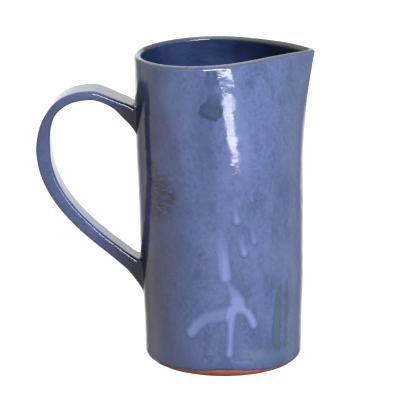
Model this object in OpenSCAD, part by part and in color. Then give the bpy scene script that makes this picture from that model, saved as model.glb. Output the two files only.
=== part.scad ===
// Ceramic pitcher: a slab base, a rolled wall pinched into a spout, a pulled strap handle and its glaze.
// The origin is the centre of the foot, on the table. The spout points along +X and the handle along -X.

/* [Wall] */
// Height of the rim over the table, at the sides
rim_height = 210; // [190:1:240]
// Outside radius of the clay just above the foot
foot_radius = 52.6; // [50:0.2:54]
// Outside radius of the clay half way up
middle_radius = 55; // [52:0.2:57]
// Outside radius of the clay at the rim, before the spout is pulled
rim_radius = 55.6; // [53:0.2:58]
// Thickness of the clay wall
wall_thickness = 4.2; // [3.4:0.2:5]
// How far the rim leans towards the handle
wall_lean = 4.2; // [0:0.2:6]

/* [Spout] */
// How far the lip is pulled out at the spout
spout_pull = 14; // [8:1:18]
// Angle over which the pull dies away on each side
spout_spread = 20; // [14:1:26]
// How far the wall is pressed in beside the spout
side_squeeze = 11; // [6:1:13]
// Angle from the spout to the middle of the pressed area
squeeze_angle = 45; // [38:1:52]
// Angular width of the pressed area
squeeze_width = 56; // [44:1:62]
// Share of the height at which the spout begins
spout_start = 0.64; // [0.5:0.02:0.75]
// How much higher the rim stands at the spout than at the sides
spout_rise = 2; // [0:0.5:4]

/* [Base] */
// Thickness of the base slab
floor_thickness = 7; // [6:0.5:9]
// Size of the bevel around the underside
foot_bevel = 2.8; // [1:0.2:4]
// Radius of the clay coil pressed into the inside corner
coil_radius = 5; // [3:0.5:8]

/* [Handle] */
// Width of the handle strap over the crest of the loop
crest_width = 27; // [24:0.5:29]
// Width of the strap at its tail
tail_width = 18.6; // [17:0.2:24]
// Thickness of the strap at the crest of the loop
crest_thickness = 5.3; // [4.4:0.1:6]
// Thickness of the strap at the back of the loop, where it is held
back_thickness = 8.9; // [7:0.1:9.4]
// Radius of the strap's long edges
strap_edge = 1.6; // [1:0.1:1.7]
// Height on the wall where the top of the handle leaves it
upper_root = 172; // [168:0.5:176]
// Height on the wall where the tail of the handle ends
lower_root = 48; // [44:0.5:54]

/* [Glaze] */
// Thickness of the fired glaze
glaze_thickness = 0.4; // [0.3:0.1:0.6]
// Height of the lower edge of the outside glaze at the front, where it was wiped highest
glaze_line = 5.1; // [4.3:0.2:5.9]

/* [Hidden] */

clay_colour = [0.66, 0.38, 0.28];
glaze_colour = [0.38, 0.44, 0.62];
liner_colour = [0.24, 0.29, 0.43];

// Steps around the wall, closer together at the spout than at the handle
steps_round = 60;
step_crowding = 30;
// Rings up each face of the wall, and the angle between rings over the lip and the coil
rings_up = 8;
arc_step = 30;
// Curve of the wall's lean
lean_power = 1.25;
// Curve of the spout's rise, the roundness of its tip and the dip in its lip
spout_power = 1.9;
tip_angle = 3;
lip_dip = 0.6;
dip_angle = 12;
// Height of the outside glaze's lower edge away from the front, and the angle over which it rises
lowest_glaze_line = 2.9;
glaze_line_width = 24;

lip_radius = wall_thickness / 2;
floor_share = floor_thickness / rim_height;
around = [for (i = [0:steps_round - 1]) signed_angle(360 * i / steps_round)];

function signed_angle(u) =
    let (a = u - step_crowding * sin(u))
    a > 180 ? a - 360 : a;

// ---- Shape of the wall ----

function spout_fade(share) = pow(max(0, (share - spout_start) / (1 - spout_start)), spout_power);

function spout_shape(a) =
    spout_pull * exp(-(sqrt(a * a + tip_angle * tip_angle) - tip_angle) / spout_spread)
    - side_squeeze * exp(-pow((abs(a) - squeeze_angle) / squeeze_width, 2));

function clay_radius(a, share) =
    foot_radius * (1 - share) * (1 - 2 * share)
    + middle_radius * 4 * share * (1 - share)
    + rim_radius * share * (2 * share - 1)
    + spout_fade(share) * spout_shape(a);

function rim_at(a) = rim_height + spout_rise * cos(a) - lip_dip * exp(-pow(a / dip_angle, 2));

function lean_at(share) = wall_lean * pow(share, lean_power);

// Height of the centre of the rounded lip
function lip_centre(a) = rim_at(a) - glaze_thickness - lip_radius;

// A point at this height, this far in from the outside of the clay
function wall_point(a, z, inset) =
    let (share = z / rim_at(a), r = clay_radius(a, share) - inset)
    [r * cos(a) - lean_at(share), r * sin(a), z];

function level_ring(inset, z) = [for (a = around) wall_point(a, z, inset)];

function rising_ring(inset, start, rise) =
    [for (a = around) wall_point(a, start + rise * (lip_centre(a) - start), inset)];

// The lip from its outside, at 0 degrees, over the crown to its inside, at 180
function lip_ring(turn, skin) =
    [for (a = around) wall_point(a, lip_centre(a) + (lip_radius + skin) * sin(turn),
                                 lip_radius - (lip_radius + skin) * cos(turn))];

// The inside corner from the wall, at 0 degrees, down to the floor, at 90
function corner_ring(turn, skin) =
    level_ring(wall_thickness + coil_radius - (coil_radius - skin) * cos(turn),
               floor_thickness + coil_radius - (coil_radius - skin) * sin(turn));

// A ring on the flat floor, at this share of the distance to the coil
function floor_ring(share, z) =
    [for (p = level_ring(wall_thickness + coil_radius, z)) [p.x * share, p.y * share, z]];

function glaze_start(a) =
    let (from_front = abs(a + 90) > 180 ? 360 - abs(a + 90) : abs(a + 90))
    lowest_glaze_line + (glaze_line - lowest_glaze_line) * exp(-pow(from_front / glaze_line_width, 2));

function rising_glaze_ring(inset, rise) =
    [for (a = around) wall_point(a, glaze_start(a) + rise * (lip_centre(a) - glaze_start(a)), inset)];

// ---- Shape of the handle ----

// The middle line of the strap in the XZ plane: wall to crest, crest to back, back to wall
handle_path = [
    [[-56, 167.7], [-62, 170.4], [-80, 181.3], [-87, 181.3]],
    [[-87, 181.3], [-109, 181.3], [-120, 168], [-120, 144.6]],
    [[-120, 144.6], [-120.6, 106.4], [-82.4, 81], [-53, 59]]
];
// Where along the path the strap is clear of the wall, counting one for each curve
strap_start = 0.25;
strap_end = 2.9;
// Width and thickness of the strap along the path
strap_widths = [
    [0.25, crest_width - 2.5], [0.6, crest_width], [1.1, crest_width], [1.6, crest_width - 3.5],
    [2, tail_width + 1.9], [2.5, tail_width + 0.4], [3, tail_width]
];
strap_depths = [
    [0, 6.6], [0.35, 6.6], [0.5, 5.2], [0.7, 4.8], [1, crest_thickness], [1.3, crest_thickness],
    [1.6, 5], [2, back_thickness], [2.3, back_thickness - 0.6], [2.5, 7.9], [3, 7.6]
];
// The wedges of clay at the roots: where they begin, how deep they are at the strap's end, and at the wall
upper_wedge_from = 0.65;
upper_wedge_depth = 3.2;
upper_wedge_height = 7;
lower_wedge_from = 2.7;
lower_wedge_depth = 1.2;
lower_wedge_height = 9;
wedge_power = 2;
wedge_edge = 0.3;
thinnest_wedge = 0.3;
// Height of the strap's own end on the wall
upper_end_height = 8;
lower_end_height = 10.5;
// Steps along the strap and between its ends and the wall, and how far it runs straight towards the wall
strap_steps = 22;
root_steps = 3;
root_reach = 2;
corner_step = 30;

function bezier(p, t) =
    pow(1 - t, 3) * p[0] + 3 * t * pow(1 - t, 2) * p[1] + 3 * t * t * (1 - t) * p[2] + pow(t, 3) * p[3];

function bezier_slope(p, t) =
    pow(1 - t, 2) * (p[1] - p[0]) + 2 * t * (1 - t) * (p[2] - p[1]) + t * t * (p[3] - p[2]);

function path_index(u) = min(2, floor(u));
function path_point(u) = bezier(handle_path[path_index(u)], u - path_index(u));
function path_way(u) =
    let (d = bezier_slope(handle_path[path_index(u)], u - path_index(u)))
    d / norm(d);

// Half the strap's thickness at u
function half_depth(u) = lookup(u, strap_depths) / 2;

// How far each wedge stands below or outside the strap at u
function wedge_share(u, from, to) = pow(max(0, (u - from) / (to - from)), wedge_power);
function upper_wedge(u) =
    max(thinnest_wedge, upper_wedge_depth * wedge_share(u, upper_wedge_from, strap_start));
function lower_wedge(u) =
    max(thinnest_wedge, lower_wedge_depth * wedge_share(u, lower_wedge_from, strap_end));

// The strap's edge radius where a wedge this deep takes over the rest of the rounding
function edge_beside(depth) = max(wedge_edge, strap_edge - depth);

// Edge radii of a wedge this deep, against the strap and away from it, and how much narrower it is
function thin_edge(depth) = min(wedge_edge, 0.15 * depth);
function wide_edge(depth) = min(strap_edge, 0.8 * depth);
function wedge_inset(depth) = max(0, strap_edge - depth);

// A rounded rectangle of [across, out] points, from low to high, with its own edge radius on each side
function section(low, high, low_edge, high_edge, half_width) =
    [for (corner = [0:3], k = [0:90 / corner_step])
        let (
            turn = corner * 90 + k * corner_step,
            is_high = corner < 2,
            edge = is_high ? high_edge : low_edge,
            side = corner == 0 || corner == 3 ? 1 : -1,
            middle = is_high ? high - edge : low + edge
        )
        [-side * (half_width - edge) - edge * cos(turn), middle + edge * sin(turn)]];

// The section placed square to the path at u: "out" points away from the loop's inside
function path_ring(u, outline) =
    let (c = path_point(u), w = path_way(u))
    [for (q = outline) [c.x + w.y * q[1], q[0], c.y - w.x * q[1]]];

// Where the wall's clay lies on the handle side, at this distance across and this height
function wall_x(y, z) =
    let (share = z / rim_at(180), r = clay_radius(180, share))
    -lean_at(share) - sqrt(r * r - y * y);

// The section laid on the wall between two heights: outwards is up at the top root, down at the lower one
function wall_ring(outline, low, high, z_low, z_high, shrink = 1, sink = 0) =
    let (z_middle = (z_low + z_high) / 2)
    [for (q = outline)
        let (
            z_full = z_low + (z_high - z_low) * (q[1] - low) / (high - low),
            z = z_middle + (z_full - z_middle) * shrink,
            y = q[0] * shrink
        )
        [wall_x(y, z) + sink, y, z]];

// Rings that run on from the strap's end in its own direction and bend to the wall
function root_rings(last, way, on_wall) =
    [for (k = [1:root_steps])
        let (t = k / root_steps)
        [for (i = [0:len(last) - 1])
            let (ahead = last[i] + root_reach * [way.x, 0, way.y])
            pow(1 - t, 2) * last[i] + 2 * t * (1 - t) * ahead + t * t * on_wall[i]]];

// A piece of the handle from u_from to u_to. low and high give its faces as offsets from the middle line.
function piece_section(u, part, skin) =
    let (
        h = half_depth(u),
        half_width = lookup(u, strap_widths) / 2 + skin,
        upper = upper_wedge(u),
        lower = lower_wedge(u),
        beside_upper = u < upper_wedge_from ? upper : 0,
        beside_lower = u > lower_wedge_from ? lower : 0
    )
    part == "strap" ? section(-h, h, edge_beside(beside_upper), edge_beside(beside_lower), half_width)
    : part == "upper" ? section(-h - upper, -h, wide_edge(upper), thin_edge(upper),
                                half_width - wedge_inset(upper))
    : part == "lower" ? section(h, h + lower, thin_edge(lower), wide_edge(lower),
                                half_width - wedge_inset(lower))
    : section(-h - skin - beside_upper, h + skin + beside_lower,
              strap_edge + skin, strap_edge + skin, half_width);

// [low, high, height of low on the wall, height of high on the wall] at one end of a piece
function root_span(part, at_top, skin) =
    let (
        u = at_top ? strap_start : strap_end,
        h = half_depth(u),
        strap_high = at_top ? upper_root : lower_root + lower_wedge_height,
        strap_low = at_top ? strap_high - upper_end_height : strap_high + lower_end_height
    )
    part == "strap" ? [-h, h, strap_low, strap_high]
    : part == "upper" ? [-h - upper_wedge(u), -h, strap_low - upper_wedge_height, strap_low]
    : part == "lower" ? [h, h + lower_wedge(u), strap_high, strap_high - lower_wedge_height]
    : at_top ? [-h - skin - upper_wedge(u), h + skin,
                strap_low - upper_wedge_height - skin, strap_high + skin]
    : [-h - skin, h + skin + lower_wedge(u),
       strap_low + skin, strap_high - lower_wedge_height - skin];

// The rings between the wall and one end of the strap, counted away from the strap
function root(part, at_top, skin, sink = 0) =
    let (
        u = at_top ? strap_start : strap_end,
        outline = piece_section(u, part, skin),
        span = root_span(part, at_top, skin),
        on_wall = wall_ring(outline, span[0], span[1], span[2], span[3], 1, sink)
    )
    root_rings(path_ring(u, outline), path_way(u) * (at_top ? -1 : 1), on_wall);

// Smaller rings on the wall itself, which let a piece's end follow the wall's curve
function root_cap(part, at_top, skin) =
    let (
        outline = piece_section(at_top ? strap_start : strap_end, part, skin),
        span = root_span(part, at_top, skin)
    )
    [for (shrink = [0.66, 0.33]) wall_ring(outline, span[0], span[1], span[2], span[3], shrink)];

function reversed(list) = [for (i = [len(list) - 1:-1:0]) list[i]];

function strap_rings(part, u_from, u_to, steps, skin) =
    [for (k = [0:steps])
        let (u = u_from + (u_to - u_from) * k / steps)
        path_ring(u, piece_section(u, part, skin))];

function whole_handle(part, skin) = concat(
    reversed(root(part, true, skin)),
    strap_rings(part, strap_start, strap_end, strap_steps, skin),
    root(part, false, skin)
);

// ---- Solids from rings ----

function middle_of(ring) = [for (i = [0:2]) [for (p = ring) p[i]] * [for (p = ring) 1] / len(ring)];

// The two triangles between each pair of neighbours in two rings
function band(lower, upper, n) =
    [for (i = [0:n - 1], half = [0, 1])
        let (j = (i + 1) % n)
        half == 0 ? [lower + i, upper + i, upper + j] : [lower + i, upper + j, lower + j]];

// Rings joined in order and closed by a fan at each end
module capped_stack(rings) {
    n = len(rings[0]);
    count = len(rings);
    first_middle = n * count;
    polyhedron(
        points = concat([for (ring = rings) each ring], [middle_of(rings[0]), middle_of(rings[count - 1])]),
        faces = concat(
            [for (k = [0:count - 2]) each band(n * k, n * (k + 1), n)],
            [for (i = [0:n - 1]) [first_middle, i, (i + 1) % n]],
            [for (i = [0:n - 1]) [first_middle + 1, n * (count - 1) + (i + 1) % n, n * (count - 1) + i]]
        )
    );
}

// Rings joined in order, and the last one joined to the first
module closed_stack(rings) {
    n = len(rings[0]);
    count = len(rings);
    polyhedron(
        points = [for (ring = rings) each ring],
        faces = [for (k = [0:count - 1]) each band(n * k, n * ((k + 1) % count), n)]
    );
}

// ---- Clay ----

module base_slab() {
    radius = clay_radius(180, floor_share);
    color(clay_colour)
        rotate_extrude($fn = 120)
            polygon([
                [0, 0],
                [radius - foot_bevel, 0],
                [radius, foot_bevel],
                [radius, floor_thickness],
                [0, floor_thickness]
            ]);
}

module body_wall() {
    color(clay_colour)
        closed_stack(concat(
            [for (k = [0:rings_up]) rising_ring(0, floor_thickness, k / rings_up)],
            [for (turn = [arc_step:arc_step:180 - arc_step]) lip_ring(turn, 0)],
            [for (k = [rings_up:-1:1])
                rising_ring(wall_thickness, floor_thickness + coil_radius, k / rings_up)],
            [level_ring(wall_thickness, floor_thickness + coil_radius)],
            [level_ring(wall_thickness, floor_thickness)]
        ));
}

module floor_seam_coil() {
    color(clay_colour)
        closed_stack(concat(
            [level_ring(wall_thickness, floor_thickness)],
            [for (turn = [0:arc_step:90]) corner_ring(turn, 0)]
        ));
}

module handle_strap() {
    color(clay_colour)
        capped_stack(concat(
            reversed(root_cap("strap", true, 0)),
            whole_handle("strap", 0),
            root_cap("strap", false, 0)
        ));
}

module handle_upper_fillet() {
    color(clay_colour)
        capped_stack(concat(
            reversed(root_cap("upper", true, 0)),
            reversed(root("upper", true, 0)),
            strap_rings("upper", strap_start, upper_wedge_from, 6, 0)
        ));
}

module handle_lower_fillet() {
    color(clay_colour)
        capped_stack(concat(
            strap_rings("lower", lower_wedge_from, strap_end, 3, 0),
            root("lower", false, 0),
            root_cap("lower", false, 0)
        ));
}

// ---- Glaze ----

// The end of the glazed handle, sunk a little into the clay wall
module glazed_root(at_top) {
    u = at_top ? strap_start : strap_end;
    last = path_ring(u, piece_section(u, "whole", glaze_thickness));
    rings = concat([last], root("whole", at_top, glaze_thickness, 1));
    capped_stack(at_top ? reversed(rings) : rings);
}

module outer_glaze() {
    color(glaze_colour)
        difference() {
            closed_stack(concat(
                [for (k = [0:rings_up]) rising_glaze_ring(-glaze_thickness, k / rings_up)],
                [for (turn = [arc_step:arc_step:90]) lip_ring(turn, glaze_thickness)],
                [for (turn = [90:-arc_step:arc_step]) lip_ring(turn, 0)],
                [for (k = [rings_up:-1:0]) rising_glaze_ring(0, k / rings_up)]
            ));
            glazed_root(true);
            glazed_root(false);
        }
}

// The liner from the middle of the floor up to the crown of the lip, on one of its two faces
function liner_face(skin) = concat(
    [floor_ring(0.5, floor_thickness + skin)],
    [for (turn = [90:-arc_step:0]) corner_ring(turn, skin)],
    [for (k = [1:rings_up])
        rising_ring(wall_thickness + skin, floor_thickness + coil_radius, k / rings_up)],
    [for (turn = [180 - arc_step:-arc_step:90]) lip_ring(turn, skin)]
);

module inner_glaze() {
    color(liner_colour)
        capped_stack(concat(liner_face(0), reversed(liner_face(glaze_thickness))));
}

module handle_glaze() {
    color(glaze_colour)
        closed_stack(concat(
            whole_handle("whole", glaze_thickness),
            reversed(whole_handle("whole", 0))
        ));
}

base_slab();
body_wall();
floor_seam_coil();
handle_strap();
handle_upper_fillet();
handle_lower_fillet();
outer_glaze();
inner_glaze();
handle_glaze();
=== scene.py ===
import math

import bpy
import numpy as np
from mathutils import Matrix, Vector


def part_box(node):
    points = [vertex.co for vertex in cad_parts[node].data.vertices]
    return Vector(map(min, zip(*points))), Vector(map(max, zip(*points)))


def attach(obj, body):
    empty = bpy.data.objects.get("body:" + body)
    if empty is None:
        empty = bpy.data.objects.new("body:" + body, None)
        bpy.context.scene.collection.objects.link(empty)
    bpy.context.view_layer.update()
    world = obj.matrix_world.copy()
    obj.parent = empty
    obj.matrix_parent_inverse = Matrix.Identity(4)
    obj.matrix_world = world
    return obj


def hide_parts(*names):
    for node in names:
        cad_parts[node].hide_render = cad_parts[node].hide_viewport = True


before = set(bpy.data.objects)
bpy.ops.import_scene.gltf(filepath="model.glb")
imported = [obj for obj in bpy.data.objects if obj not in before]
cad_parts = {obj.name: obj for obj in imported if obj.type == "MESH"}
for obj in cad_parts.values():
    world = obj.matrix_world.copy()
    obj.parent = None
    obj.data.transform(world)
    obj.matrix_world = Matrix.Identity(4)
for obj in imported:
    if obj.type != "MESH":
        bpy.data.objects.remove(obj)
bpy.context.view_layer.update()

# The looks of a glazed earthenware pitcher. The spout points along +X and the handle along -X.
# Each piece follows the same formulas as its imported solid, with finer steps and an uneven surface.

MM = 0.001

# ---- Sizes of the solids ----

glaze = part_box("outer_glaze")[1].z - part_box("body_wall")[1].z
floor_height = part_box("base_slab")[1].z
slab_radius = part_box("base_slab")[1].x
rim_height = 210 * MM
foot_radius = 52.6 * MM
middle_radius = 55 * MM
rim_radius = 55.6 * MM
wall = 4.2 * MM
wall_lean = 4.2 * MM
lean_power = 1.25
spout_pull = 14 * MM
spout_spread = 20
tip_angle = 3
side_squeeze = 11 * MM
squeeze_angle = 45
squeeze_width = 56
spout_start = 0.64
spout_power = 1.9
spout_rise = 2 * MM
lip_dip = 0.6 * MM
dip_angle = 12
foot_bevel = 2.8 * MM
coil_radius = 5 * MM
glaze_line = 5.1 * MM
lowest_glaze_line = 2.9 * MM
glaze_line_width = 24
lip_radius = wall / 2

# The middle line of the handle strap in the XZ plane: wall to crest, crest to back, back to wall
handle_path = np.array([
    [[-56, 167.7], [-62, 170.4], [-80, 181.3], [-87, 181.3]],
    [[-87, 181.3], [-109, 181.3], [-120, 168], [-120, 144.6]],
    [[-120, 144.6], [-120.6, 106.4], [-82.4, 81], [-53, 59]],
]) * MM
strap_start = 0.25
strap_end = 2.9
width_places = [0.25, 0.6, 1.1, 1.6, 2, 2.5, 3]
strap_widths = np.array([24.5, 27, 27, 23.5, 20.5, 19, 18.6]) * MM
strap_edge = 1.6 * MM
depth_places = [0, 0.35, 0.5, 0.7, 1, 1.3, 1.6, 2, 2.3, 2.5, 3]
strap_depths = np.array([6.6, 6.6, 5.2, 4.8, 5.3, 5.3, 5, 8.9, 8.3, 7.9, 7.6]) * MM
upper_wedge_from = 0.65
upper_wedge_depth = 3.2 * MM
lower_wedge_from = 2.7
lower_wedge_depth = 1.2 * MM
wedge_power = 2
thinnest_wedge = 0.3 * MM
wedge_edge = 0.3 * MM
# Heights on the wall: the foot of the upper wedge, and the two sides of the strap's upper end
upper_heights = np.array([157, 164, 172]) * MM
# The same at the tail: the end of the lower wedge, and the two sides of the strap's lower end
lower_heights = np.array([48, 57, 67.5]) * MM
root_reach = 2 * MM

# ---- Fineness and unevenness of the surfaces ----

# Steps around the wall, closer together at the front, where the glaze has run
columns = 360
column_crowding = 24
clay_columns = 180
coat_rows = 232
clay_rows = 60
lip_steps = 9
lip_back_steps = 4
clay_lip_steps = 9
hidden_rows = 8
liner_rows = 150
corner_rings = 7
coil_rings = 9
strap_rings = 250
hidden_strap_rings = 90
clay_strap_rings = 120
upper_wedge_rings = 20
lower_wedge_rings = 12
root_rings = 14
hidden_root_rings = 3
# Points on each corner, face and side of the strap's outline
corner_steps = 7
face_steps = 14
side_steps = 5
# How far hand work has left the clay uneven, and the glaze over it
hand_waver = 0.22 * MM
peel_depth = 0.02 * MM
handle_peel_depth = 1.5 * peel_depth
rim_waver = 0.35 * MM
edge_waver = 0.3 * MM
# The bare foot: its grain, its broader unevenness, how far it is worn in all round, and its rounded corners
foot_grain = 0.12 * MM
foot_waver = 0.1 * MM
foot_wear = 0.15 * MM
foot_corner = 0.6 * MM
# A run of glaze: how far it stands out, and where its edge begins outside and ends inside its outline
run_height = 0.45 * MM
run_toe = 0.5 * MM
run_shoulder = 1.8 * MM
# Height over which the glaze thickens above its lower edge
bead_height = 1.2 * MM
# Where the handle's glaze spreads over the wall: sideways, along it at the top and the tail, and into it
root_spread = 3 * MM
upper_tail = 2.5 * MM
lower_tail = 3 * MM
root_sink = 0.15 * MM

# Seeds of the unevenness of each surface
lip_seed = 5
clay_seed = 11
edge_seed = 23
peel_seed = 31
foot_grain_seed = 41
foot_waver_seed = 43
handle_peel_seed = 61


# ---- Unevenness ----

def waves(points, wavelength, seed, count=14):
    """Smooth unevenness of about -1 to 1 from crossing waves, the same on every run."""
    draw = np.random.default_rng(seed)
    way = draw.normal(size=(count, 3))
    way /= np.linalg.norm(way, axis=1, keepdims=True)
    turns = 2 * math.pi / (wavelength * draw.uniform(0.7, 1.6, count))
    phase = draw.uniform(0, 2 * math.pi, count)
    return np.sin(points @ (way * turns[:, None]).T + phase).sum(-1) / math.sqrt(count)


def soft_step(value, low, high):
    """0 below low, 1 above high, and a smooth rise between them. low may be above high."""
    share = np.clip((value - low) / (high - low), 0, 1)
    return share * share * (3 - 2 * share)


# ---- Shape of the wall ----

def clay_radius(angle, share):
    """Outside radius of the clay at this angle from the spout and this share of the height."""
    fade = np.maximum(0, (share - spout_start) / (1 - spout_start)) ** spout_power
    pull = spout_pull * np.exp(-(np.sqrt(angle ** 2 + tip_angle ** 2) - tip_angle) / spout_spread)
    squeeze = side_squeeze * np.exp(-((np.abs(angle) - squeeze_angle) / squeeze_width) ** 2)
    return (
        foot_radius * (1 - share) * (1 - 2 * share)
        + middle_radius * 4 * share * (1 - share)
        + rim_radius * share * (2 * share - 1)
        + fade * (pull - squeeze)
    )


def rim_at(angle):
    """Height of the rim: highest at the spout, with a small dip at its very tip."""
    return rim_height + spout_rise * np.cos(np.radians(angle)) - lip_dip * np.exp(-(angle / dip_angle) ** 2)


def lip_centre(angle):
    """Height of the centre of the rounded lip, which wavers a little as it was cut by hand."""
    turn = np.radians(angle)
    around = np.stack([np.cos(turn), np.sin(turn), 0 * turn], -1) * rim_radius
    return rim_at(angle) - glaze - lip_radius - rim_waver * (1 + waves(around, 70 * MM, lip_seed)) / 2


def wall_point(angle, height, inset):
    """A point this far in from the outside of the clay."""
    share = height / rim_at(angle)
    radius = clay_radius(angle, share) - inset
    turn = np.radians(angle)
    lean = wall_lean * share ** lean_power
    return np.stack([radius * np.cos(turn) - lean, radius * np.sin(turn), height + 0 * turn], -1)


def uneven(points):
    """How far hand work moved the clay outwards at these points, fading out at the foot."""
    fade = soft_step(points[..., 2], 0, 30 * MM)
    return hand_waver * fade * waves(points, 48 * MM, clay_seed)


def angles(count, crowding=0):
    """Angles from the spout, closer together at the front where crowding is above 0."""
    turn = np.arange(count) * 360 / count - 180
    return (turn - crowding * np.sin(np.radians(turn)) - 90 + 180) % 360 - 180


def level_ring(angle, inset, height):
    points = wall_point(angle, height + 0 * angle, inset)
    return wall_point(angle, height + 0 * angle, inset - uneven(points))


def lip_ring(angle, turn, skin):
    """The lip from its outside, at 0 degrees, over the crown to its inside, at 180."""
    reach = lip_radius + skin
    height = lip_centre(angle) + reach * math.sin(math.radians(turn))
    return level_ring(angle, lip_radius - reach * math.cos(math.radians(turn)), height)


def corner_ring(angle, turn, skin):
    """The inside corner from the wall, at 0 degrees, down to the floor, at 90."""
    reach = coil_radius - skin
    return level_ring(
        angle,
        wall + coil_radius - reach * math.cos(math.radians(turn)),
        floor_height + coil_radius - reach * math.sin(math.radians(turn)),
    )


def rising_rings(angle, inset, start, rows):
    """Rings from a height, or a height for each angle, up to the lip."""
    top = lip_centre(angle)
    return [level_ring(angle, inset, start + (top - start) * k / rows) for k in range(rows + 1)]


def glaze_start(angle):
    """Height of the lower edge of the outside glaze, with the small waver of a wiped edge."""
    turn = np.radians(angle)
    around = np.stack([np.cos(turn), np.sin(turn), 0 * turn], -1) * foot_radius
    waver = edge_waver * waves(around, 22 * MM, edge_seed)
    from_front = (angle + 90 + 180) % 360 - 180
    wiped = (glaze_line - lowest_glaze_line) * np.exp(-(from_front / glaze_line_width) ** 2)
    return np.maximum(foot_bevel, lowest_glaze_line + wiped + waver)


# ---- Meshes from rings ----

def stack_mesh(name, rings, closed=False):
    """A piece from rings joined in order, closed into a loop or with a fan at each end."""
    rings = np.array(rings)
    count, around = rings.shape[:2]
    points = rings.reshape(-1, 3)
    steps = count if closed else count - 1
    ring = np.arange(steps)[:, None]
    place = np.arange(around)[None, :]
    after = (place + 1) % around
    above = (ring + 1) % count
    quads = np.stack(
        [ring * around + place, ring * around + after, above * around + after, above * around + place], -1
    )
    faces = quads.reshape(-1, 4).tolist()
    if not closed:
        first_middle = len(points)
        last = around * (count - 1)
        points = np.concatenate([points, [rings[0].mean(0), rings[-1].mean(0)]])
        faces += [[first_middle, (i + 1) % around, i] for i in range(around)]
        faces += [[first_middle + 1, last + i, last + (i + 1) % around] for i in range(around)]
    mesh = bpy.data.meshes.new(name)
    mesh.from_pydata(points.tolist(), [], faces)
    mesh.polygons.foreach_set("use_smooth", [True] * len(mesh.polygons))
    piece = bpy.data.objects.new(name, mesh)
    bpy.context.scene.collection.objects.link(piece)
    return piece


def store(piece, name, values):
    """Keeps one number for each point, padded with the last one for the middles of the fans."""
    values = np.ravel(values)
    short = len(piece.data.vertices) - len(values)
    attribute = piece.data.attributes.new(name, "FLOAT", "POINT")
    attribute.data.foreach_set("value", np.append(values, np.repeat(values[-1:], short)).astype(np.float32))


def finish_piece(piece, material, node):
    piece.data.materials.append(material)
    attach(piece, "root")
    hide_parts(node)


# ---- Marks in the glaze ----

# Each mark is a chain of [distance from the front line towards the spout, height, half width, strength].
# Sizes are in mm, and the strength says how much of the mark's colour shows there.
lavender_runs = [
    [[-0.5, 103, 3, 0.1], [0.8, 89, 3.6, 0.35], [1.6, 78.5, 4.1, 0.5], [2.4, 69.5, 3.9, 0.6]],
    [[3.4, 95, 1, 0.2], [3.9, 80, 1.8, 0.9], [4.3, 70, 2.3, 1]],
    [[5.5, 66, 2.4, 0.3], [8.5, 60, 4.2, 0.5], [10.6, 54, 5.2, 0.75], [11.2, 49.5, 5, 0.95]],
    [[10, 51, 4, 0.9], [6.8, 43, 2.9, 1], [6, 33, 2.6, 0.95], [5.6, 23, 2.4, 0.85], [5, 16.8, 2.9, 0.95]],
    [[12, 50, 4.4, 0.9], [17.5, 45.5, 3.3, 1], [20.6, 40, 3.1, 0.95], [22, 36.2, 3.2, 1]],
    [[9, 50, 4, 0.7], [2.5, 45, 6, 0.4], [-4.5, 43.8, 6, 0.4], [-11, 42, 5.4, 0.45],
     [-16.5, 37, 4.6, 0.6], [-21, 30.7, 4, 0.85]],
    [[7.5, 11.4, 2.4, 0.2], [14, 10.2, 3, 0.35], [20.5, 9.6, 2.4, 0.2]],
    [[9.9, 118, 1.3, 0.1], [10.5, 112, 2.2, 0.5], [11.2, 108, 2.8, 0.9]],
    [[13.4, 98, 1.4, 0.1], [14.8, 90, 2.2, 0.55], [15.7, 86, 2.7, 1]],
    [[20.2, 104, 1.1, 0.1], [22, 97, 1.7, 0.45], [22.9, 93.3, 2.2, 0.8]],
    [[19.8, 131, 0.9, 0.1], [21.4, 121.5, 1.6, 0.6]],
    [[11.8, 125, 0.8, 0.1], [12.6, 119.5, 1.5, 0.45]],
]
green_strokes = [
    [[43.4, 60, 0.6, 0.5], [41.2, 50, 2.2, 0.8], [40.4, 33, 3.4, 0.8], [40.4, 21, 3.3, 1],
     [43.5, 17, 1.4, 0.8]],
    [[49.6, 61, 0.6, 0.4], [50, 48, 1.2, 0.6], [49.6, 17, 1.2, 0.5]],
]
dark_patches = [
    [[-3, 207, 3.6, 0.9], [-3.5, 199, 3.8, 0.7], [-3, 192, 2.4, 0.3], [-2, 189, 4.5, 0.7], [-3, 182, 6, 1]],
    [[-8, 180.5, 3.6, 1], [-2, 180, 4.6, 1], [2, 181, 3, 0.8]],
]
pale_smears = [[[16, 16, 2.4, 0.5], [28, 15.2, 2.6, 0.6]]]
# Broad soft clouds beside the front line: paler ones and darker ones. The first pale one, just on the spout's
# side of the front line, is a painted reflection, and the first dark one, just on the handle's side of it, is
# painted shade
pale_clouds_and_sheen = [
    [[14, 203, 5, 0.7], [15, 175, 7, 0.9], [14, 146, 8, 0.8], [12, 118, 7, 0.35]],
    [[6, 140, 5, 0.4], [5, 112, 6, 0.5]],
    [[-4, 96, 6, 0.5], [-2, 60, 8, 0.5]],
    [[-30, 190, 10, 0.5], [-24, 168, 8, 0.4]],
    [[12, 94, 7, 0.6], [22, 78, 11, 0.5], [40, 82, 11, 0.45], [56, 64, 11, 0.5]],
]
dark_clouds_and_shade = [
    [[-9, 198, 6, 0.7], [-9, 168, 7, 0.8], [-8, 142, 7, 0.7], [-8, 112, 6, 0.3]],
    [[38, 141, 6, 0.6], [47, 126, 8, 0.7], [44, 110, 7, 0.7]],
    [[-26, 120, 7, 0.4], [-24, 90, 8, 0.5], [-28, 40, 9, 0.4]],
    [[-42, 20, 10, 0.5], [-20, 10, 6, 0.4]],
    [[28, 34, 7, 0.3], [28, 25, 9, 0.6], [40, 12, 8, 0.6]],
]
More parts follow.
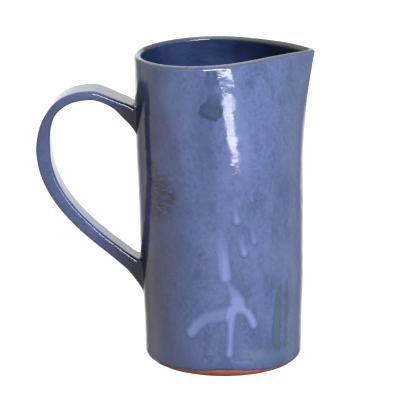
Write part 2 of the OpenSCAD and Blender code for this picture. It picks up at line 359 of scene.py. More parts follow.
purple_clouds = [
    [[-38, 104, 5, 0.5], [-32, 84, 8, 0.8], [-36, 62, 7, 0.5]],
    [[-42, 30, 7, 0.7], [-34, 12, 7, 0.9], [-22, 8, 4, 0.6]],
    [[-34, 172, 5, 0.7], [-33, 152, 5, 0.5]],
    [[11, 158, 3, 0.8], [9, 141, 4, 0.6]],
]
teal_pools = [[[33, 11.5, 3.2, 1], [50, 11.7, 2.8, 0.8]]]
scratched_bands = [[[-50, 137, 6, 0.8], [-41, 122, 11, 1], [-47, 110, 8, 0.9]]]
# Outside radius of the glaze that turns an angle into a distance around the wall
front_arc = 55 * MM
# Further than any mark's colour reaches
far_away = 60 * MM
# Distance over which marks of one kind melt into each other
melting = 0.8 * MM


def along_front(angle):
    """Distance around the wall from its front line, positive towards the spout."""
    return np.radians((angle + 90 + 180) % 360 - 180) * front_arc


def chain_distance(across, height, chain):
    """Distance to a chain of tapered strokes, negative inside it, and the strength of its nearest point."""
    distance = np.full(across.shape, far_away)
    strength = np.zeros(across.shape)
    for start, end in zip(chain, chain[1:]):
        x0, z0, r0 = np.array(start[:3]) * MM
        x1, z1, r1 = np.array(end[:3]) * MM
        length = (x1 - x0) ** 2 + (z1 - z0) ** 2
        share = np.clip(((across - x0) * (x1 - x0) + (height - z0) * (z1 - z0)) / length, 0, 1)
        gap = np.hypot(across - x0 - share * (x1 - x0), height - z0 - share * (z1 - z0))
        gap = gap - r0 - share * (r1 - r0)
        nearer = gap < distance
        distance = np.where(nearer, gap, distance)
        strength = np.where(nearer, start[3] + share * (end[3] - start[3]), strength)
    return distance, strength


def mark(angle, height, chains):
    """Distance to several chains that melt into each other, and the strength of the strongest one there."""
    across = along_front(angle)
    pairs = [chain_distance(across, height, chain) for chain in chains]
    distances = np.array([distance for distance, _ in pairs])
    strengths = np.array([strength for _, strength in pairs])
    nearness = np.exp(-np.clip(distances, -far_away, far_away) / melting)
    melted = -melting * np.log(nearness.sum(0))
    on_it = 0.6 * MM
    inside = np.where(distances < on_it, strengths, 0).max(0)
    nearest = np.take_along_axis(strengths, distances.argmin(0)[None], 0)[0]
    return melted, np.maximum(inside, nearest)


# ---- The wall and its floor ----

def wall_glaze_coat():
    """The glaze outside, raised where it has run, with the lip's outer half and its side on the clay."""
    angle = angles(columns, column_crowding)
    start = glaze_start(angle)
    top = lip_centre(angle)
    height = np.array([start + (top - start) * k / coat_rows for k in range(coat_rows + 1)])
    every = np.broadcast_to(angle, height.shape)
    flat = wall_point(every, height, -glaze)
    run, run_strength = mark(every, height, lavender_runs)
    stand = run_height * run_strength * soft_step(run, run_toe, -run_shoulder)
    bead = soft_step(height - start, 0, bead_height)
    skin = glaze * bead + uneven(flat) + peel_depth * waves(flat, 9 * MM, peel_seed) + stand
    outside = wall_point(every, height, -skin)
    over_lip = np.linspace(0, 90, lip_steps)[1:]
    crown = [lip_ring(angle, turn, glaze) for turn in over_lip]
    back = [lip_ring(angle, turn, 0) for turn in np.linspace(90, 0, lip_back_steps)]
    inside = rising_rings(angle, 0, start, hidden_rows)[::-1]
    coat = stack_mesh("wall_glaze_coat", [*outside, *crown, *back, *inside], closed=True)
    keep_wall_marks(coat, every, height, start, flat, run, run_strength, over_lip)
    return coat


def keep_wall_marks(coat, angle, height, start, flat, run, run_strength, over_lip):
    """Stores each mark's distance in mm and its strength on the points of the coat, for its material."""
    away = far_away / MM
    rest = len(coat.data.vertices) // columns - len(height)

    def keep(name, values, beyond):
        store(coat, name, np.concatenate([values, np.full((rest, columns), beyond)]))

    keep("run", run / MM, away)
    keep("run_strength", run_strength, 0)
    # Below 0 where the glaze just under a point is nearer to a run's middle, as at the top of the run
    keep("run_lower_side", (mark(angle, height - MM, lavender_runs)[0] - run) / MM, 0)
    for name, chains in (
        ("stroke", green_strokes),
        ("patch", dark_patches),
        ("smear", pale_smears),
        ("teal", teal_pools),
        ("scratched", scratched_bands),
        ("pale", pale_clouds_and_sheen),
        ("dark", dark_clouds_and_shade),
        ("purple", purple_clouds),
    ):
        distance, strength = mark(angle, height, chains)
        keep(name, distance / MM, away)
        keep(name + "_strength", strength, 0)
    keep("over_edge", (height - start) / MM, rim_height / MM)
    # Distance to where each end of the handle meets the wall, for the painted shade around its roots
    to_roots = [patch_distance(flat, low, high) for low, high in root_spans()]
    keep("crease", np.minimum(*to_roots) / MM, away)
    under_lip = (rim_at(angle) - height) / MM
    reach = (lip_radius + glaze) / MM
    crown = [np.full(columns, reach * (1 - math.sin(turn))) for turn in np.radians(over_lip)]
    store(coat, "under_lip", np.concatenate([under_lip, crown, np.full((rest - len(crown), columns), away)]))


def root_spans():
    """The heights between which each end of the handle meets the wall."""
    return (upper_heights[0], upper_heights[2]), (lower_heights[0], lower_heights[2])


def patch_distance(points, low, high):
    """Distance on the handle's side of the wall to the place where one end of the handle meets it."""
    half_width = 9 * MM
    across = np.maximum(0, np.abs(points[..., 1]) - half_width)
    above = np.maximum(0, np.abs(points[..., 2] - (low + high) / 2) - (high - low) / 2)
    return np.hypot(across, above) + np.where(points[..., 0] > 0, far_away, 0)


def liner_glaze_coat():
    angle = angles(clay_columns)

    def face(skin, rows):
        """The rings of one side of the glaze, from the middle of the floor to the crown of the lip."""
        edge = level_ring(angle, wall + coil_radius, floor_height + skin)
        floor = [edge * [share, share, 1] for share in (0.2, 0.4, 0.6, 0.8)]
        corner = [corner_ring(angle, turn, skin) for turn in np.linspace(90, 0, corner_rings)]
        up = rising_rings(angle, wall + skin, floor_height + coil_radius, rows)[1:]
        lip = [lip_ring(angle, turn, skin) for turn in np.linspace(180, 90, lip_steps)[1:]]
        return [*floor, *corner, *up, *lip]

    return stack_mesh("liner_glaze_coat", [*face(0, clay_rows), *face(glaze, liner_rows)[::-1]])


def wall_clay():
    angle = angles(clay_columns)
    outside = rising_rings(angle, 0, floor_height, clay_rows)
    lip = [lip_ring(angle, turn, 0) for turn in np.linspace(0, 180, clay_lip_steps)[1:-1]]
    inside = rising_rings(angle, wall, floor_height + coil_radius, clay_rows)[::-1]
    foot = [level_ring(angle, wall, floor_height)]
    return stack_mesh("wall_clay", [*outside, *lip, *inside, *foot], closed=True)


def seam_coil():
    angle = angles(clay_columns)
    corner = [corner_ring(angle, turn, 0) for turn in np.linspace(0, 90, coil_rings)]
    return stack_mesh("seam_coil", [level_ring(angle, wall, floor_height), *corner], closed=True)


def foot_slab():
    """The slab, from the middle of its underside round its bevel to the middle of its top."""
    turn = np.linspace(0, 2 * math.pi, clay_columns, endpoint=False)
    way = np.stack([np.cos(turn), np.sin(turn), 0 * turn], -1)
    up = np.array([0, 0, 1.0])
    profile = [[slab_radius * share, 0] for share in (0.15, 0.3, 0.45, 0.6, 0.75, 0.88)]
    profile += [[slab_radius - foot_bevel - foot_corner, 0], [slab_radius - foot_bevel, 0.2 * foot_corner]]
    profile += [[slab_radius - foot_bevel * (1 - k / 5), foot_bevel * k / 5] for k in range(1, 5)]
    profile += [[slab_radius, foot_bevel + foot_corner * k] for k in (0.4, 1.5, 3)]
    profile += [[slab_radius, floor_height], [slab_radius * 0.5, floor_height]]
    rings = []
    for radius, height in profile:
        ring = radius * way + height * up
        grain = foot_grain * waves(ring, 7 * MM, foot_grain_seed)
        rough = grain + foot_waver * waves(ring, 26 * MM, foot_waver_seed)
        inward = np.minimum(0, rough - foot_wear) * (0 < height < floor_height)
        rings.append(ring + inward[:, None] * way)
    return stack_mesh("foot_slab", rings)


# ---- The handle ----

def path_point(u):
    """The middle line and its direction, both as [x, z], counting one for each curve."""
    curve = min(2, int(u))
    t = u - curve
    p = handle_path[curve]
    point = (1 - t) ** 3 * p[0] + 3 * t * (1 - t) ** 2 * p[1] + 3 * t * t * (1 - t) * p[2] + t ** 3 * p[3]
    way = (1 - t) ** 2 * (p[1] - p[0]) + 2 * t * (1 - t) * (p[2] - p[1]) + t * t * (p[3] - p[2])
    return point, way / np.linalg.norm(way)


def half_depth(u):
    return np.interp(u, depth_places, strap_depths) / 2


def wedge(u, start, end, depth):
    """How far a root's wedge of clay stands out from the strap."""
    return depth * max(0, (u - start) / (end - start)) ** wedge_power


def section(low, high, low_edge, high_edge, half_width):
    """A rounded rectangle of [across, out] points with points along its flats too."""
    corners = []
    for corner in range(4):
        edge = high_edge if corner < 2 else low_edge
        middle = high - edge if corner < 2 else low + edge
        side = 1 if corner in (0, 3) else -1
        for turn in np.radians(np.linspace(corner * 90, corner * 90 + 90, corner_steps)):
            across = -side * (half_width - edge) - edge * math.cos(turn)
            corners.append([across, middle + edge * math.sin(turn)])
    corners = np.array(corners)
    points = []
    for corner in range(4):
        arc = corners[corner * corner_steps:(corner + 1) * corner_steps]
        after = corners[(corner + 1) * corner_steps % len(corners)]
        steps = face_steps if corner in (0, 2) else side_steps
        flat = [arc[-1] + (after - arc[-1]) * k / steps for k in range(1, steps)]
        points += [*arc, *flat]
    return np.array(points)


def placed(u, outline):
    """The outline placed square to the path: out points away from the loop's inside."""
    centre, way = path_point(u)
    across, out = outline.T
    return np.stack([centre[0] + way[1] * out, across, centre[1] - way[0] * out], -1)


def on_wall(across, height, out):
    """Points on the handle side of the wall, this far out from its clay."""
    angle = 180 - np.degrees(np.arcsin(across / rim_radius))
    angle = np.where(angle > 180, angle - 360, angle)
    lean = wall_lean * (height / rim_at(180)) ** lean_power
    x = -lean - np.sqrt(clay_radius(angle, height / rim_at(180)) ** 2 - across ** 2)
    points = np.stack([x, across, height], -1)
    outward = uneven(points) + out
    return points - np.stack([outward, 0 * outward, 0 * outward], -1)


def piece_section(u, part, skin):
    """The outline of a part of the handle at u: its strap, a wedge, or the whole of it under its glaze."""
    h = half_depth(u)
    half_width = np.interp(u, width_places, strap_widths) / 2 + skin
    upper = wedge(u, upper_wedge_from, strap_start, upper_wedge_depth)
    lower = wedge(u, lower_wedge_from, strap_end, lower_wedge_depth)
    if part == "whole":
        return section(-h - skin - upper, h + skin + lower, strap_edge + skin, strap_edge + skin, half_width)
    if part == "strap":
        return section(-h, h, edge_beside(upper), edge_beside(lower), half_width)
    deep = max(thinnest_wedge, upper if part == "upper" else lower)
    narrow = half_width - max(0, strap_edge - deep)
    thin_edge = min(wedge_edge, 0.15 * deep)
    wide_edge = min(strap_edge, 0.8 * deep)
    if part == "upper":
        return section(-h - deep, -h, wide_edge, thin_edge, narrow)
    return section(h, h + deep, thin_edge, wide_edge, narrow)


def edge_beside(depth):
    """The strap's edge radius where a wedge this deep takes over the rest of the rounding."""
    return max(wedge_edge, strap_edge - depth)


def heights_on_wall(part, at_top):
    """The heights on the wall of the inner and the outer side of one end of a part."""
    far, middle, near = upper_heights if at_top else lower_heights
    if part == "strap":
        return (middle, near) if at_top else (near, middle)
    if part == "upper":
        return far, middle
    if part == "lower":
        return middle, far
    return (far, near) if at_top else (near, far)


def root(part, at_top, skin, spread=0.0, tail=0.0, sink=0.0, rings=root_rings):
    """Rings from one end of the strap to the wall, which may spread over it with a rounded crease."""
    u = strap_start if at_top else strap_end
    outline = piece_section(u, part, skin)
    last = placed(u, outline)
    way = path_point(u)[1] * (-1 if at_top else 1)
    across, out = outline.T
    share = (out - out.min()) / (out.max() - out.min())
    low, high = heights_on_wall(part, at_top)
    upwards = 1 if at_top else -1
    low, high = low - upwards * skin, high + upwards * skin
    height = low + (high - low) * share
    near_wall = on_wall(across, height, glaze * (skin > 0) - sink)
    side = np.clip(across / across.max(), -1, 1)
    lengthwise = np.where(share > 0.5, tail, spread) * (2 * share - 1) * upwards
    spread_out = on_wall(across + side * spread, height + lengthwise, glaze * (skin > 0) - sink)
    ahead = last + root_reach * np.array([way[0], 0, way[1]])
    made = []
    for t in np.linspace(0, 1, rings + 1)[1:]:
        if spread or tail:
            ring = (1 - t) ** 3 * last + 3 * t * (1 - t) ** 2 * ahead
            ring = ring + 3 * t * t * (1 - t) * near_wall + t ** 3 * spread_out
        else:
            ring = (1 - t) ** 2 * last + 2 * t * (1 - t) * ahead + t * t * near_wall
        made.append(ring)
    return made


def strap_rings_between(part, start, end, count, skin):
    return [placed(u, piece_section(u, part, skin)) for u in np.linspace(start, end, count + 1)]


def handle_glaze_coat():
    """The glaze around the strap and its wedges, spread onto the wall at both roots."""
    outer = np.array([
        *root("whole", True, glaze, root_spread, upper_tail, root_sink)[::-1],
        *strap_rings_between("whole", strap_start, strap_end, strap_rings, glaze),
        *root("whole", False, glaze, root_spread, lower_tail, root_sink),
    ])
    peel = handle_peel_depth * waves(outer, 12 * MM, handle_peel_seed)
    outer = outer + sideways(outer) * peel[..., None]
    inner = [
        *root("whole", True, 0, rings=hidden_root_rings)[::-1],
        *strap_rings_between("whole", strap_start, strap_end, hidden_strap_rings, 0),
        *root("whole", False, 0, rings=hidden_root_rings),
    ]
    coat = stack_mesh("handle_glaze_coat", [*outer, *inner[::-1]], closed=True)
    # How far each point stands from the wall, for the painted shade in the creases
    widest = 20 * MM
    wall_side = on_wall(np.clip(outer[..., 1], -widest, widest), outer[..., 2], 0)[..., 0]
    crease = (wall_side - outer[..., 0]) / MM
    store(coat, "crease", np.concatenate([crease, np.full((len(inner), crease.shape[1]), far_away / MM)]))
    return coat


def sideways(rings):
    """The outward direction of each point of a stack of rings."""
    forward = np.gradient(rings, axis=0)
    around = np.roll(rings, -1, 1) - np.roll(rings, 1, 1)
    normal = np.cross(around, forward)
    return normal / np.maximum(np.linalg.norm(normal, axis=-1, keepdims=True), 1e-9)


def strap_clay():
    return stack_mesh("strap_clay", [
        *root("strap", True, 0)[::-1],
        *strap_rings_between("strap", strap_start, strap_end, clay_strap_rings, 0),
        *root("strap", False, 0),
    ])


def upper_wedge_clay():
    return stack_mesh("upper_wedge_clay", [
        *root("upper", True, 0)[::-1],
        *strap_rings_between("upper", strap_start, upper_wedge_from, upper_wedge_rings, 0),
    ])


def lower_wedge_clay():
    return stack_mesh("lower_wedge_clay", [
        *strap_rings_between("lower", lower_wedge_from, strap_end, lower_wedge_rings, 0),
        *root("lower", False, 0),
    ])


# ---- Materials ----

# Colours in the usual 0 to 255 values
mid_blue = 78, 95, 142
violet_blue = 82, 97, 146
slate_blue = 62, 82, 118
deep_blue = 50, 62, 106
pale_blue = 100, 114, 160
purple_blue = 82, 76, 122
grain_blue = 58, 66, 100
handle_blue = 48, 62, 96
painted_shade_blue = 10, 14, 36
speck_colour = 30, 28, 34
side_shade_brown_grey = 62, 66, 92
patch_green = 38, 62, 94
patch_edge = 28, 46, 76
scratch_brown = 34, 30, 40
smear_green = 98, 118, 132
cloud_pale_and_sheen = 108, 122, 172
cloud_dark_and_shade = 56, 74, 118
teal_blue = 66, 100, 132
stroke_green = 56, 84, 98
stroke_outline = 48, 66, 84
run_outline = 62, 74, 124
lavender = 113, 126, 183
pale_lavender = 130, 143, 195
lip_blue = 76, 92, 128
lip_brown = 66, 60, 72
lip_pale_and_sheen = 118, 126, 134
lip_olive = 82, 88, 86
edge_brown_and_shade = 48, 38, 44
liner_blue = 44, 60, 100
liner_dark = 28, 40, 72
liner_ring = 22, 32, 60
clay_orange = 158, 82, 58
clay_brown = 132, 66, 48
clay_pale = 178, 116, 92
clay_burnt = 96, 48, 38
clay_grog = 190, 150, 128

glaze_ior = 1.52
# Depths of the bumps in the gloss: its orange peel outside and inside, its pits, and the grain of bare clay
peel_bump = 0.16 * MM
liner_bump = 0.1 * MM
pit_bump = 0.012 * MM
clay_bump = 0.1 * MM


def tint(colour):
    """A colour from its usual 0 to 255 values, or a node's output as it is."""
    if isinstance(colour, bpy.types.NodeSocket):
        return colour
    shares = [value / 255 for value in colour]
    return (*[s / 12.92 if s <= 0.04045 else ((s + 0.055) / 1.055) ** 2.4 for s in shares], 1)


class Graph:
    """A material's nodes. The methods after fill add one node, or a few, and return the last one's output."""

    def __init__(self, name):
        self.material = bpy.data.materials.new(name)
        self.material.use_nodes = True
        self.tree = self.material.node_tree
        self.shader = self.tree.nodes["Principled BSDF"]

    def node(self, kind, inputs, **settings):
        made = self.tree.nodes.new("ShaderNode" + kind)
        for name, value in settings.items():
            setattr(made, name, value)
        self.fill(made, inputs)
        return made

    def fill(self, node, inputs):
        for key, value in inputs.items():
            if isinstance(value, bpy.types.NodeSocket):
                self.tree.links.new(value, node.inputs[key])
            else:
                node.inputs[key].default_value = value

    def place(self, stretch=(1, 1, 1)):
        """The point on the object in metres, with its axes stretched."""
        point = self.node("TexCoord", {}).outputs["Object"]
        return self.node("Mapping", {"Vector": point, "Scale": stretch}).outputs["Vector"]

    def parts(self, vector):
        return self.node("SeparateXYZ", {"Vector": vector}).outputs

    def noise(self, vector, size, detail=3, roughness=0.5, distortion=0.0):
        """Cloudy noise with patches of about this size."""
        inputs = {
            "Vector": vector, "Scale": 1 / size, "Detail": detail,
            "Roughness": roughness, "Distortion": distortion,
        }
        return self.node("TexNoise", inputs).outputs["Fac"]

    def cells(self, vector, size):
        """Distance to the middle of the nearest cell of about this size, as a share of the size."""
        return self.node("TexVoronoi", {"Vector": vector, "Scale": 1 / size}).outputs["Distance"]

    def kept(self, name):
        """A number stored on the points of the piece."""
        return self.node("Attribute", {}, attribute_name=name).outputs["Fac"]

    def rise(self, value, low, high, to_low=0.0, to_high=1.0):
        """A smooth rise from to_low to to_high as value goes from low to high."""
        inputs = {"Value": value, "From Min": low, "From Max": high, "To Min": to_low, "To Max": to_high}
        return self.node("MapRange", inputs, interpolation_type="SMOOTHSTEP").outputs["Result"]

    def math(self, operation, first, second):
        return self.node("Math", {0: first, 1: second}, operation=operation).outputs["Value"]

    def plus(self, first, second):
        return self.math("ADD", first, second)

    def minus(self, first, second):
        return self.math("SUBTRACT", first, second)

    def times(self, first, *factors):
        for factor in factors:
            first = self.math("MULTIPLY", first, factor)
        return first

    def blend(self, share, colour, over):
        """This share of a second colour over a first."""
        inputs = {0: share, 6: tint(colour), 7: tint(over)}
        return self.node("Mix", inputs, data_type="RGBA").outputs[2]

    def overlay(self, colour, over, value, low, high, most=1.0):
        """A second colour over a first where value goes from low to high, up to the share most."""
        return self.blend(self.rise(value, low, high, 0, most), colour, over)

    def bump(self, height, depth, normal=None):
        inputs = {"Height": height, "Distance": depth}
        if normal is not None:
            inputs["Normal"] = normal
        return self.node("Bump", inputs).outputs["Normal"]


def mottled_blue(graph, place):
    """The glaze's own colour: grey blue clouded with violet and slate, streaked downwards and mottled."""
    flow = graph.place((1, 1, 0.55))
    drift = graph.place((1.1, 1.1, 0.9))
    colour = graph.overlay(mid_blue, violet_blue, graph.noise(place, 46 * MM, 2), 0.4, 0.62)
    colour = graph.overlay(colour, slate_blue, graph.noise(flow, 26 * MM, 5, 0.62, 0.8), 0.47, 0.62, 0.7)
    colour = graph.overlay(colour, deep_blue, graph.noise(flow, 12 * MM, 5, 0.66), 0.47, 0.66, 0.6)
    colour = graph.overlay(colour, pale_blue, graph.noise(place, 5 * MM, 5, 0.7), 0.52, 0.75, 0.5)
    colour = graph.overlay(colour, pale_blue, graph.noise(drift, 3.4 * MM, 6, 0.75), 0.42, 0.7, 0.45)
    return graph.overlay(colour, grain_blue, graph.noise(place, 2.4 * MM, 6, 0.75), 0.42, 0.74, 0.6)


def specks(graph, place, size):
    """Small dark specks and pinholes, in some of the cells of this size."""
    radius = 0.1
    near = graph.rise(graph.cells(place, size), radius, radius * 0.55)
    some = graph.rise(graph.noise(place, size * 3, 2), 0.52, 0.58)
    return graph.times(near, some)


def blue_glaze_material(name, on_wall):
    """The glaze outside: with its marks on the wall, darker on the handle, and painted shade darkest in the
    creases.
    """
    graph = Graph(name)
    place = graph.place()
    colour = mottled_blue(graph, place)
    if on_wall:
        colour = wall_marks(graph, place, colour)
    else:
        colour = graph.blend(0.5, colour, handle_blue)
    # Painted shade: near black within a few mm of where the handle meets the wall, on the handle and on the
    # wall
    from_crease = graph.plus(graph.kept("crease"), graph.times(graph.noise(place, 7 * MM, 4, 0.6), 14))
    colour = graph.overlay(colour, painted_shade_blue, from_crease, 42, 10)
    speck = specks(graph, place, 4.5 * MM)
    colour = graph.blend(graph.times(speck, 0.85), colour, speck_colour)
    peel = graph.noise(graph.place((1, 1, 1.5)), 9 * MM, 3, 0.6)
    pits = graph.minus(graph.noise(place, 2.2 * MM, 2), graph.times(speck, 2))
    graph.fill(graph.shader, {
        "Base Color": colour,
        "Roughness": graph.rise(graph.noise(place, 9 * MM, 4), 0.35, 0.75, 0.06, 0.16),
        "IOR": glaze_ior,
        "Normal": graph.bump(peel, peel_bump, graph.bump(pits, pit_bump)),
    })
    return graph.material


def wall_marks(graph, place, colour):
    """The marks that the brush, the runs, the lip and the foot leave in the glaze of the wall, with painted
    shade and a painted reflection among them.
    """
    ragged = graph.noise(place, 3 * MM, 4, 0.65)
    cloudy = graph.noise(graph.place((1, 1, 0.5)), 20 * MM, 5, 0.65)
    along = graph.plus(graph.parts(place)["X"], graph.times(cloudy, 34 * MM))
    # Brown and grey clouds on the handle's side, and slate ones on the spout's: partly the glaze's own
    # colour, partly painted shade on the sides of the wall that turn away from the light
    colour = graph.overlay(colour, side_shade_brown_grey, along, 6 * MM, -34 * MM, 0.5)
    colour = graph.overlay(colour, slate_blue, along, 44 * MM, 70 * MM, 0.5)
    colour = soft_clouds(graph, colour, cloudy)
    colour = green_patch(graph, colour, ragged)
    colour = scratches(graph, colour)
    colour = smears_and_pools(graph, colour, ragged)
    colour = green_brush_strokes(graph, colour, ragged)
    colour = runs(graph, colour)
    colour = lip_marks(graph, colour, ragged, along)
    return lower_edge(graph, colour, ragged)


def shown(graph, name, soft_from, soft_to):
    """How much of a stored mark shows: its strength, across a smooth edge between two distances in mm."""
    return graph.times(graph.rise(graph.kept(name), soft_from, soft_to), graph.kept(name + "_strength"))


def soft_clouds(graph, colour, cloudy):
    """Broad soft clouds of paler, darker and purple glaze, among them a painted reflection and a painted
    shade beside the front line.
    """
    softly = graph.rise(cloudy, 0.3, 0.65, 0.5, 1)
    # The pale and dark clouds hold a painted reflection and a painted shade beside the front line
    for name, soft_from, most, over in (
        ("pale", 5, 0.6, cloud_pale_and_sheen),
        ("dark", 5, 0.8, cloud_dark_and_shade),
        ("purple", 4, 0.75, purple_blue),
    ):
        colour = graph.blend(graph.times(shown(graph, name, soft_from, -6), softly, most), colour, over)
    return colour


def green_patch(graph, colour, ragged):
    """A dark green patch under the lip, with a ragged outline and a darker lower edge."""
    blot = graph.plus(graph.kept("patch"), graph.times(graph.minus(ragged, 0.5), 9))
    strength = graph.kept("patch_strength")
    patch = graph.times(graph.rise(blot, 1.2, -1.6), strength, graph.rise(ragged, 0.3, 0.6, 0.55, 0.95))
    colour = graph.blend(patch, colour, patch_green)
    hem = graph.times(graph.rise(blot, 0.8, 0), graph.rise(blot, -3.5, -1, 0, 0.6))
    return graph.blend(graph.times(hem, graph.rise(strength, 0.5, 1)), colour, patch_edge)


def scratches(graph, colour):
    """Scratches of brown under the glaze, in a band beside the handle."""
    lines = graph.rise(graph.noise(graph.place((1, 1, 2.6)), 6 * MM, 6, 0.75, 1.2), 0.41, 0.53)
    share = graph.times(lines, shown(graph, "scratched", 4, -4), 0.85)
    return graph.blend(share, colour, scratch_brown)


def smears_and_pools(graph, colour, ragged):
    """Thin pale smears and teal pools near the foot."""
    smear = graph.times(shown(graph, "smear", 2, -1.5), graph.rise(ragged, 0.35, 0.6, 0.3, 0.9))
    colour = graph.blend(smear, colour, smear_green)
    return graph.blend(graph.times(shown(graph, "teal", 3, -2), 0.7), colour, teal_blue)


def green_brush_strokes(graph, colour, ragged):
    """Green strokes with a darker outline."""
    stroke = graph.plus(graph.kept("stroke"), graph.times(graph.minus(ragged, 0.5), 2.6))
    body = graph.times(graph.rise(stroke, 0.5, -0.6, 0, 0.8), graph.kept("stroke_strength"))
    colour = graph.blend(body, colour, stroke_green)
    outline = graph.times(graph.rise(stroke, 1, 0.2), graph.rise(stroke, -1.6, -0.4, 0, 0.5))
    return graph.blend(outline, colour, stroke_outline)


def runs(graph, colour):
    """Lavender runs: their tops fade into the glaze, and their sides and toes are crisp and outlined."""
    lower_side = graph.kept("run_lower_side")
    run = graph.plus(graph.kept("run"), graph.rise(lower_side, -0.25, -0.9, 0, 1.5))
    strength = graph.kept("run_strength")
    outline = graph.times(graph.rise(run, 1.4, 0.2), graph.times(strength, strength))
    outline = graph.times(outline, graph.rise(lower_side, -0.3, 0.5, 0.1, 0.6))
    colour = graph.blend(outline, colour, run_outline)
    body = graph.times(graph.rise(run, 0.2, -0.7, 0, 0.5), strength)
    colour = graph.blend(body, colour, lavender)
    middle = graph.times(graph.rise(run, -0.6, -2.8, 0, 0.6), strength)
    return graph.blend(middle, colour, pale_lavender)


def lip_marks(graph, colour, ragged, along):
    """The lip: pale where the glaze is thin on its crown, with a painted reflection of the light from above
    mixed in, and a brown line at its outer edge.
    """
    under = graph.plus(graph.kept("under_lip"), graph.times(ragged, 1.2))
    colour = graph.overlay(colour, lip_blue, under, 6, 2.4, 0.5)
    line = graph.times(graph.rise(under, 2.5, 1.8), graph.rise(under, 1, 1.6, 0, 0.4))
    colour = graph.blend(line, colour, lip_brown)
    # Thin glaze on the crown, with a painted reflection of the light from above mixed in
    crown = graph.overlay(lip_pale_and_sheen, lip_olive, along, 20 * MM, 60 * MM)
    return graph.overlay(colour, crown, under, 1.4, 0.8, 0.85)


def lower_edge(graph, colour, ragged):
    """The lower edge: a band that darkens downwards where the glaze is thick, and a thin dark line, both
    thick glaze and painted shade on the bevel.
    """
    edge = graph.plus(graph.kept("over_edge"), graph.times(ragged, 0.8))
    # Thick rolled glaze, with painted shade near the foot
    colour = graph.overlay(colour, deep_blue, edge, 9, 1, 0.5)
    return graph.overlay(colour, edge_brown_and_shade, edge, 1.9, 1, 0.9)


def liner_glaze_material():
    """The darker glaze inside: faintly ringed, with painted shade darkest at the spout and the floor, and
    pale on the lip where the glaze is thin, with a painted reflection mixed in.
    """
    graph = Graph("liner_glaze")
    place = graph.place()
    parts = graph.parts(place)
    rings = graph.place((0.3, 0.3, 2))
    colour = graph.overlay(liner_blue, liner_dark, graph.noise(place, 30 * MM, 4), 0.38, 0.66)
    colour = graph.overlay(colour, liner_ring, graph.noise(rings, 6 * MM, 5, 0.65), 0.5, 0.72, 0.5)
    # Painted shade deep inside: darker towards the spout and down at the floor
    colour = graph.overlay(colour, painted_shade_blue, parts["X"], -10 * MM, 40 * MM, 0.75)
    colour = graph.overlay(colour, painted_shade_blue, parts["Z"], 14 * MM, 7 * MM, 0.7)
    height = graph.plus(parts["Z"], graph.times(graph.noise(place, 3 * MM, 4), 1 * MM))
    # Thin glaze on the crown, with a painted reflection of the light from above mixed in
    crown = graph.overlay(lip_pale_and_sheen, lip_olive, parts["X"], -20 * MM, 35 * MM)
    colour = graph.overlay(colour, crown, height, rim_height - 2 * MM, rim_height + 0.2 * MM, 0.75)
    colour = graph.blend(specks(graph, place, 6 * MM), colour, speck_colour)
    peel = graph.noise(graph.place((1, 1, 2)), 6 * MM, 3)
    graph.fill(graph.shader, {
        "Base Color": colour,
        "Roughness": graph.rise(graph.noise(place, 8 * MM, 4), 0.3, 0.75, 0.1, 0.22),
        "IOR": glaze_ior,
        "Normal": graph.bump(peel, liner_bump),
    })
    return graph.material


def terracotta_material():
    """Bare fired clay: orange brown and cloudy, with grog, turning scratches and a dry, grainy face."""
    graph = Graph("terracotta")
    place = graph.place()
    turned = graph.noise(graph.place((0.25, 0.25, 3)), 1.6 * MM, 5, 0.7)
    colour = graph.overlay(clay_orange, clay_brown, graph.noise(place, 12 * MM, 5, 0.6), 0.38, 0.64)
    colour = graph.overlay(colour, clay_pale, turned, 0.5, 0.66, 0.45)
    colour = graph.overlay(colour, clay_burnt, graph.noise(place, 4 * MM, 4, 0.7), 0.56, 0.7, 0.6)
    grog = graph.rise(graph.cells(place, 1.7 * MM), 0.24, 0.16)
    some = graph.rise(graph.noise(place, 5 * MM, 2), 0.52, 0.6)
    colour = graph.blend(graph.times(grog, some, 0.6), colour, clay_grog)
    grain = graph.plus(graph.noise(place, 0.7 * MM, 4, 0.7), graph.times(turned, 0.8))
    graph.fill(graph.shader, {
        "Base Color": colour,
        "Roughness": graph.rise(graph.noise(place, 3 * MM, 4), 0.3, 0.7, 0.75, 0.95),
        "Normal": graph.bump(grain, clay_bump),
    })
    return graph.material


# ---- The studio ----

# The camera looks at this point from this direction, in degrees, and this far away
camera_target = Vector((-16 * MM, 0, 107.4 * MM))
camera_azimuth = 1.5
camera_elevation = 15.3
camera_distance = 1.6
camera_lens = 214.6

# Brightness of the room in reflections, and as a fill light from the handle's side, the spout's and the back
front_glow = 0.9
side_glow = 0.45
back_glow = 1.5
handle_side_fill = 0.18
spout_side_fill = 0.42
back_fill = 0.6

# Lamps seen only in the gloss, one above the other, each with its bearing, height, width, length and power.
# Together they are one strip that tapers downwards, with a wide piece for the lip.
strip_distance = 0.45
strip_aim = 0.15
strip_lamps = {
    "strip_foot": (18, 0.1, 0.062, 0.028, 0.07),
    "strip_middle": (19.3, 0.127, 0.085, 0.028, 0.1),
    "strip_head": (19.3, 0.162, 0.095, 0.032, 0.13),
    "strip_top": (23, 0.198, 0.105, 0.036, 0.16),
    "strip_lip": (25, 0.282, 0.17, 0.056, 0.45),
}

# The floor lies just under the foot, clear of its flat face
floor_half = 6
floor_top = -0.2 * MM


def add_camera():
    data = bpy.data.cameras.new("camera")
    data.sensor_width = 36
    data.lens = camera_lens
    camera = bpy.data.objects.new("camera", data)
    azimuth = math.radians(camera_azimuth)
    elevation = math.radians(camera_elevation)
    back = Vector((
        math.sin(azimuth) * math.cos(elevation),
        -math.cos(azimuth) * math.cos(elevation),
        math.sin(elevation),
    ))
    camera.location = camera_target + back * camera_distance
    camera.rotation_euler = back.to_track_quat("Z", "Y").to_euler()
    bpy.context.scene.collection.objects.link(camera)
    bpy.context.scene.camera = camera


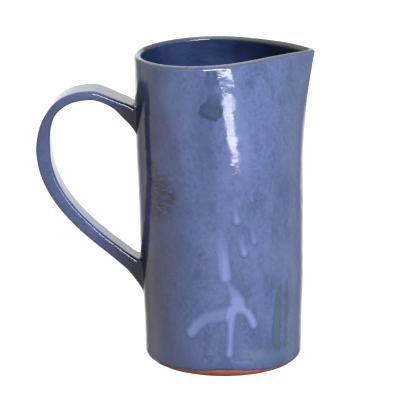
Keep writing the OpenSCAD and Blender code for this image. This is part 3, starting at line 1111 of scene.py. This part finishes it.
def add_card(name, bearing, distance, height, width, length, power, aim=0.1, glossy=True, diffuse=True):
    """A rectangular lamp at this bearing from the front of the pitcher, towards its spout."""
    data = bpy.data.lights.new(name, "AREA")
    data.shape = "RECTANGLE"
    data.size = width
    data.size_y = length
    data.energy = power
    lamp = bpy.data.objects.new(name, data)
    turn = math.radians(bearing)
    place = Vector((math.sin(turn) * distance, -math.cos(turn) * distance, height))
    lamp.location = place
    lamp.rotation_euler = (place - Vector((0, 0, aim))).to_track_quat("Z", "Y").to_euler()
    lamp.visible_camera = False
    lamp.visible_glossy = glossy
    lamp.visible_diffuse = diffuse
    bpy.context.scene.collection.objects.link(lamp)


def light_world():
    """White to the camera. In reflections the backdrop is bright, with a dimmer gap at each side of it."""
    world = bpy.data.worlds.new("studio")
    bpy.context.scene.world = world
    world.use_nodes = True
    tree = world.node_tree
    background = tree.nodes["Background"]

    def ranged(value, low, high, to_low, to_high):
        node = tree.nodes.new("ShaderNodeMapRange")
        node.interpolation_type = "SMOOTHSTEP"
        settings = {"Value": value, "From Min": low, "From Max": high, "To Min": to_low, "To Max": to_high}
        for key, number in settings.items():
            if isinstance(number, bpy.types.NodeSocket):
                tree.links.new(number, node.inputs[key])
            else:
                node.inputs[key].default_value = number
        return node.outputs["Result"]

    path = tree.nodes.new("ShaderNodeLightPath")
    way = tree.nodes.new("ShaderNodeSeparateXYZ")
    tree.links.new(tree.nodes.new("ShaderNodeTexCoord").outputs["Generated"], way.inputs[0])
    beside = ranged(way.outputs["Y"], 0.45, 0.75, front_glow, side_glow)
    behind = ranged(way.outputs["Y"], 0.8, 0.92, beside, back_glow)
    over = ranged(way.outputs["Z"], 0.2, 0.9, behind, 1.0)
    for_gloss = ranged(path.outputs["Is Glossy Ray"], 0, 1, 1.0, over)
    fill = ranged(way.outputs["X"], -0.7, 0.7, handle_side_fill, spout_side_fill)
    fill = ranged(way.outputs["Y"], 0.1, 0.8, fill, back_fill)
    strength = ranged(path.outputs["Is Diffuse Ray"], 0, 1, for_gloss, fill)
    background.inputs["Color"].default_value = (1, 1, 1, 1)
    tree.links.new(strength, background.inputs["Strength"])


def add_floor():
    """A white floor that neither lights the pitcher nor shows in its gloss."""
    corners = [(x * floor_half, y * floor_half, floor_top) for x, y in ((-1, -1), (1, -1), (1, 1), (-1, 1))]
    mesh = bpy.data.meshes.new("floor")
    mesh.from_pydata(corners, [], [(0, 1, 2, 3)])
    floor = bpy.data.objects.new("floor", mesh)
    bpy.context.scene.collection.objects.link(floor)
    graph = Graph("floor")
    graph.fill(graph.shader, {
        "Base Color": (0.5, 0.5, 0.5, 1), "Roughness": 0.9, "Specular IOR Level": 0.0,
        "Emission Color": (1, 1, 1, 1), "Emission Strength": 1.0,
    })
    mesh.materials.append(graph.material)
    floor.visible_glossy = False
    floor.visible_diffuse = False


add_camera()
light_world()
add_floor()
# The main light, which the gloss doesn't show, and a lamp for the bright line along the handle's near edge
add_card("key", 20, 1.5, 1.1, 0.7, 0.7, 44, glossy=False)
add_card("edge_light", 10, 1.5, 0.64, 0.8, 0.26, 24, diffuse=False)
for name, (bearing, height, width, length, power) in strip_lamps.items():
    add_card(name, bearing, strip_distance, height, width, length, power, aim=strip_aim, diffuse=False)

wall_glaze = blue_glaze_material("wall_glaze", True)
handle_glaze = blue_glaze_material("handle_glaze", False)
liner_glaze = liner_glaze_material()
terracotta = terracotta_material()
finish_piece(wall_glaze_coat(), wall_glaze, "outer_glaze")
finish_piece(handle_glaze_coat(), handle_glaze, "handle_glaze")
finish_piece(liner_glaze_coat(), liner_glaze, "inner_glaze")
finish_piece(wall_clay(), terracotta, "body_wall")
finish_piece(seam_coil(), terracotta, "floor_seam_coil")
finish_piece(foot_slab(), terracotta, "base_slab")
finish_piece(strap_clay(), terracotta, "handle_strap")
finish_piece(upper_wedge_clay(), terracotta, "handle_upper_fillet")
finish_piece(lower_wedge_clay(), terracotta, "handle_lower_fillet")

bpy.context.scene.view_settings.view_transform = "Standard"
